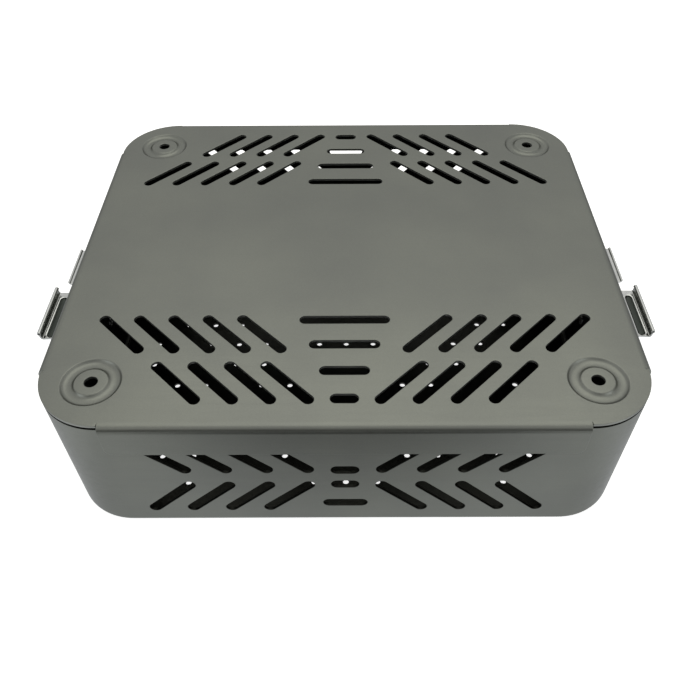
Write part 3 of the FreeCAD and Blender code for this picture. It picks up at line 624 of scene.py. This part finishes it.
dome = np.radians(np.linspace(90, 0, 9))
dome_head = np.column_stack([HEAD * np.cos(dome), HEAD_RISE * np.sin(dome) ** 1.3])
shank = [(SHANK, 0), (SHANK, -GRIP)]
button = [(HEAD, -GRIP), (HEAD, -GRIP - BUTTON_EDGE), (BUTTON_FACE, -GRIP - BUTTON_RISE),
          (0, -GRIP - BUTTON_RISE)]
through_wall = np.concatenate([dome_head, shank, button])
through_flange = np.concatenate([dome_head, shank, [(0, -GRIP)]])
for side, sign in (("right", 1), ("left", -1)):
    for row, up in (("lower", -BRACKET_RIVET_UP), ("upper", BRACKET_RIVET_UP)):
        for place, across in (("front", -BRACKET_RIVET_OUT), ("rear", BRACKET_RIVET_OUT)):
            seat = (sign * (WALL_X + LATCH_SHEET), sign * across, PIN_Z + up)
            headed("%s_bracket_rivet_%s_%s" % (side, row, place), *turned(through_wall, seat, sign),
                   "base", "rivet_steel")
    for place, across in (("front", -KEEPER_RIVET_OUT), ("rear", KEEPER_RIVET_OUT)):
        seat = (sign * (WALL_X + KEEPER_FACE), sign * across, KEEPER_RIVET_Z)
        headed("%s_keeper_rivet_%s" % (side, place), *turned(through_flange, seat, sign),
               "lid", "rivet_steel")

# Brackets and hinge pins: the bracket is stainless sheet of 1 mm, blanked, folded to two ears and
# riveted to the tray. The pin through the ears is stainless wire with a flat head at each end.

# Half the pin's length over its heads, then a head's radius, thickness and round.
PIN_HALF, PIN_HEAD, PIN_HEAD_THICK, PIN_ROUND = 19.4, 2.3, 0.8, 0.45
PIN_SEAT = PIN_HALF - PIN_HEAD_THICK
# The bracket's cut edges are broken by this.
EDGE_ROUND = 0.22
round_end = np.radians(np.linspace(90, 0, 6))
pin_end = np.column_stack([PIN_HEAD * np.cos(round_end),
                           PIN_HALF - PIN_ROUND + PIN_ROUND * np.sin(round_end)])
half_pin = np.concatenate([pin_end, [(PIN_HEAD, PIN_SEAT), (SHANK, PIN_SEAT)]])
whole_pin = np.concatenate([half_pin, half_pin[::-1] * (1, -1)])
bright_steel = stainless_steel("bright_stainless_sheet", "#b6b7b4", 0.16, (2500.0, 60.0, 2500.0))
for side, sign in (("right", 1), ("left", -1)):
    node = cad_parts["%s_latch_bracket" % side]
    for material_slot in node.material_slots:
        material_slot.material = bright_steel
    merged = node.modifiers.new("merged", "WELD")
    merged.merge_threshold = 0.002 * MM
    soft = node.modifiers.new("broken_edges", "BEVEL")
    soft.width = EDGE_ROUND * MM
    soft.segments = 2
    soft.limit_method = "ANGLE"
    soft.angle_limit = math.radians(35)
    soft.use_clamp_overlap = False
    headed("%s_hinge_pin" % side, *turned(whole_pin, (sign * (WALL_X + PIN_OUT), 0, PIN_Z), 2),
           "base", "stainless_steel")

# Latch levers: a blank with two ears folded up at the hinge, a narrow groove pressed along the web
# beside the lip, its floor painted dark as a painted reflection, and a leaning lip rolled into a bead.

LATCH_BEND = 1.6
# The web's inner face hangs this far below the pin when the lever is open.
LEVER_DROP = 9.0
WEB_UNDER = PIN_Z - LEVER_DROP - LATCH_SHEET
HALF_WIDE = 18.5
EAR_FOLD = HALF_WIDE - LATCH_BEND
# Ears: how far past the pin they go, how far before the fold's end their outer edge starts to slope,
# and the radii of the eye and of its bore.
EAR_REACH, EAR_LOW, EYE, BORE = 13.0, 1.0, 3.5, 1.55
# Between the ears the web begins this far out and keeps this far off their folds. It widens to a
# shoulder between these two distances beyond the ears.
WEB_START, WEB_RELIEF, SHOULDER_IN, SHOULDER_OUT = 1.1, 0.2, 0.4, 1.6
# Beyond this the web goes on without ears.
WEB_ONLY = 20.0
# The lip: how far out and how far up it goes, and how far it leans on its outer face, which is a
# sheet's thickness higher, and on its inner one.
LIP_OUT, LIP_UP, LIP_LEAN, LIP_RUN = 35.35, 3.6, 0.9, 0.7
LIP_TURN = math.atan2(LIP_UP + LATCH_SHEET, LIP_LEAN)
LIP_FOLD = LIP_OUT - LATCH_BEND * math.tan(LIP_TURN / 2)
LIP_LENGTH = math.hypot(LIP_UP, LIP_RUN) - LATCH_BEND * math.tan(LIP_TURN / 2)
GROOVE_MIDDLE, GROOVE_HALF = np.array((31.05, -1.4)), np.array((2.7, 16.5))
GROOVE_CORNER, GROOVE_SLOPE, GROOVE_DEPTH = 2.6, 0.9, 0.5
# The painted dark reflection begins this far inside the groove's rim.
GROOVE_PAINT_INSET = 0.2


def inside_groove(flat):
    """How far inside the groove's rounded outline a point of the web is: the corners' radius, less
    the signed distance from the rectangle through the corners' centres."""
    q = np.abs(flat - GROOVE_MIDDLE) - GROOVE_HALF + GROOVE_CORNER
    return GROOVE_CORNER - np.linalg.norm(np.maximum(q, 0), axis=1) - np.minimum(q.max(1), 0)


def groove_line(shrink):
    """The groove's outline, drawn in from its rim by a distance, as a closed line."""
    half, radius = GROOVE_HALF - shrink, GROOVE_CORNER - shrink
    corners = [arc(GROOVE_MIDDLE + (half - radius) * (x, y), radius, start, start + 90, 6)
               for x, y, start in ((1, 1, 0), (-1, 1, 90), (-1, -1, 180), (1, -1, 270))]
    line = np.concatenate(corners)
    return np.concatenate([line, line[:1]])


def lever_surface(flat):
    """The blank folded: outwards past the lip's fold it turns up through the lip's angle, and
    sideways past an ear's fold it turns up through a quarter circle. The groove's floor lies below
    the web by its depth, and its sides slope there over a stated width."""
    out, side = flat[:, 0], flat[:, 1]
    turn = np.clip((out - LIP_FOLD) / LATCH_BEND, 0, LIP_TURN)
    rest = np.clip(out - LIP_FOLD - LATCH_BEND * LIP_TURN, 0, None)
    x = np.minimum(out, LIP_FOLD) + LATCH_BEND * np.sin(turn) + rest * math.cos(LIP_TURN)
    z = WEB_UNDER + LATCH_BEND * (1 - np.cos(turn)) + rest * math.sin(LIP_TURN)
    fold = np.clip((np.abs(side) - EAR_FOLD) / LATCH_BEND, 0, math.pi / 2)
    climb = np.clip(np.abs(side) - EAR_FOLD - LATCH_BEND * math.pi / 2, 0, None)
    ear = out < WEB_ONLY
    y = np.where(ear, np.minimum(np.abs(side), EAR_FOLD) + LATCH_BEND * np.sin(fold), np.abs(side))
    z = z + np.where(ear, LATCH_BEND * (1 - np.cos(fold)) + climb, 0)
    sunk = np.clip(inside_groove(flat) / GROOVE_SLOPE, 0, 1)
    z = z - GROOVE_DEPTH * (1 - np.cos(math.pi * sunk)) / 2
    return np.column_stack([x, np.sign(side) * y, z])


ear_base = EAR_FOLD + LATCH_BEND * math.pi / 2
eye_up = ear_base + PIN_Z - WEB_UNDER - LATCH_BEND
ear_end = PIN_OUT + EAR_REACH
ear_edge = np.concatenate([
    [(ear_end, EAR_FOLD)], [(ear_end, ear_base - EAR_LOW)],
    arc((PIN_OUT, eye_up), EYE, 40, 180, 14), [(PIN_OUT - EYE, EAR_FOLD)]])
far = LIP_FOLD + LATCH_BEND * LIP_TURN + LIP_LENGTH
blank = np.concatenate([
    [(WEB_START, EAR_FOLD - WEB_RELIEF), (WEB_START, WEB_RELIEF - EAR_FOLD)], ear_edge[::-1] * (1, -1),
    [(ear_end + SHOULDER_IN, -EAR_FOLD), (ear_end + SHOULDER_OUT, -HALF_WIDE), (far, -HALF_WIDE),
     (far, HALF_WIDE), (ear_end + SHOULDER_OUT, HALF_WIDE), (ear_end + SHOULDER_IN, EAR_FOLD)],
    ear_edge])
bores = [arc((PIN_OUT, way * eye_up), BORE, 0, 360, 24)[:-1] for way in (-1, 1)]
folds = [np.array([(PIN_OUT - EYE, way * q), (ear_end, way * q)])
         for way in (-1, 1) for q in np.linspace(EAR_FOLD, ear_base, 7)]
folds += [np.array([(p, -HALF_WIDE), (p, HALF_WIDE)])
          for p in np.linspace(LIP_FOLD, LIP_FOLD + LATCH_BEND * LIP_TURN, 8)]
folds += [groove_line(shrink) for shrink in np.linspace(0, GROOVE_SLOPE, 5)]
lever_flat, lever_faces = cut_sheet(blank, bores, folds)
lever_shape = lever_surface(lever_flat)
# Faces deep in the groove take a dark steel: a painted dark reflection.
painted_groove_faces = inside_groove(lever_flat[lever_faces].mean(1)) > GROOVE_PAINT_INSET
groove_painted_dark_steel = stainless_steel("pressed_stainless_groove_painted_reflection", "#3f433f", 0.36, (2500.0, 60.0, 2500.0))

# The bead: the lip's edge goes on round a circle, nearly closed, with a dark eye inside. Its radius
# and thickness, and how far its centre lies out from the lip and down from the lip's top.
BEAD, BEAD_SHEET, BEAD_OUT, BEAD_DOWN = 1.15, 0.55, 0.1, 0.3
bead_turn = np.radians(np.linspace(185, -130, 22))
bead_line = np.column_stack([LIP_OUT + BEAD_OUT + BEAD * np.cos(bead_turn),
                             PIN_Z - LEVER_DROP + LIP_UP - BEAD_DOWN + BEAD * np.sin(bead_turn)])
# Lines this far inside each end keep the shading flat there.
END_LINE = 0.4


def carried(line, half_wide, seat, shift):
    """A line of (out, up) carried along Y from minus to plus a half width, times the seat, which
    mirrors it, plus the shift."""
    across = np.array((-half_wide, END_LINE - half_wide, half_wide - END_LINE, half_wide))
    index, y, faces = grid(np.arange(len(line)), across)
    index = index.astype(int)
    return np.column_stack([line[index, 0], y, line[index, 1]]) * seat + shift, faces


for side, sign in (("right", 1), ("left", -1)):
    seat, shift = np.array((sign, 1, 1.0)), np.array((sign * WALL_X, 0, 0))
    pieces = aimed(lever_shape * seat + shift, lever_faces, (0, 0, -1))
    lever = make_piece("%s_folded_lever" % side, *pieces, (bright_steel, groove_painted_dark_steel),
                       side + "_lever", "stainless_steel")
    # The groove's faces get the dark steel of the painted reflection.
    lever.data.polygons.foreach_set("material_index", painted_groove_faces.astype(np.int32))
    finish_sheet(lever, LATCH_SHEET, edge=0.18, inner=0, rim=0)
    points, faces = carried(bead_line, HALF_WIDE, seat, shift)
    outwards = aimed(points, faces, (sign, 0, 0))
    bead = make_piece("%s_rolled_bead" % side, *outwards, (bright_steel,), side + "_lever",
                      "stainless_steel")
    finish_sheet(bead, BEAD_SHEET, edge=0.12)
    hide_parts("%s_latch_lever" % side)

# Keepers: a strip of the same sheet, folded to a plate on the lid's flange, a shelf and a low
# upturned edge that the lever's bead snaps over.

# Beyond the tray's wall: the plate against the flange, the shelf's middle and the edge. Heights:
# the plate's top, its last straight point, the shelf and the edge's top.
KEEPER_IN, KEEPER_MIDDLE, KEEPER_OUT = KEEPER_FACE - LATCH_SHEET, 6.5, 11.2
KEEPER_TOP, KEEPER_STRAIGHT, KEEPER_FOOT, KEEPER_EDGE = 72.5, 64.0, 61.0, 62.9
KEEPER_BEND, KEEPER_HALF_WIDE = 1.6, 13.35
plate_turn, edge_turn = np.radians(np.linspace(180, 270, 9)), np.radians(np.linspace(-90, 0, 9))
keeper_line = np.concatenate([
    [(KEEPER_IN, KEEPER_TOP), (KEEPER_IN, KEEPER_STRAIGHT)],
    np.column_stack([KEEPER_IN + KEEPER_BEND * (1 + np.cos(plate_turn)),
                     KEEPER_FOOT + KEEPER_BEND * (1 + np.sin(plate_turn))]),
    [(KEEPER_MIDDLE, KEEPER_FOOT)],
    np.column_stack([KEEPER_OUT - KEEPER_BEND * (1 - np.cos(edge_turn)),
                     KEEPER_FOOT + KEEPER_BEND * (1 + np.sin(edge_turn))]),
    [(KEEPER_OUT, KEEPER_EDGE)]])
for side, sign in (("right", 1), ("left", -1)):
    points, faces = carried(keeper_line, KEEPER_HALF_WIDE, np.array((sign, 1, 1.0)), (sign * WALL_X, 0, 0))
    keeper = make_piece("%s_folded_keeper" % side, *aimed(points, faces, (-sign, 0, -1)),
                        (bright_steel,), "lid", "stainless_steel")
    finish_sheet(keeper, LATCH_SHEET, edge=0.2)
    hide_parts("%s_keeper" % side)
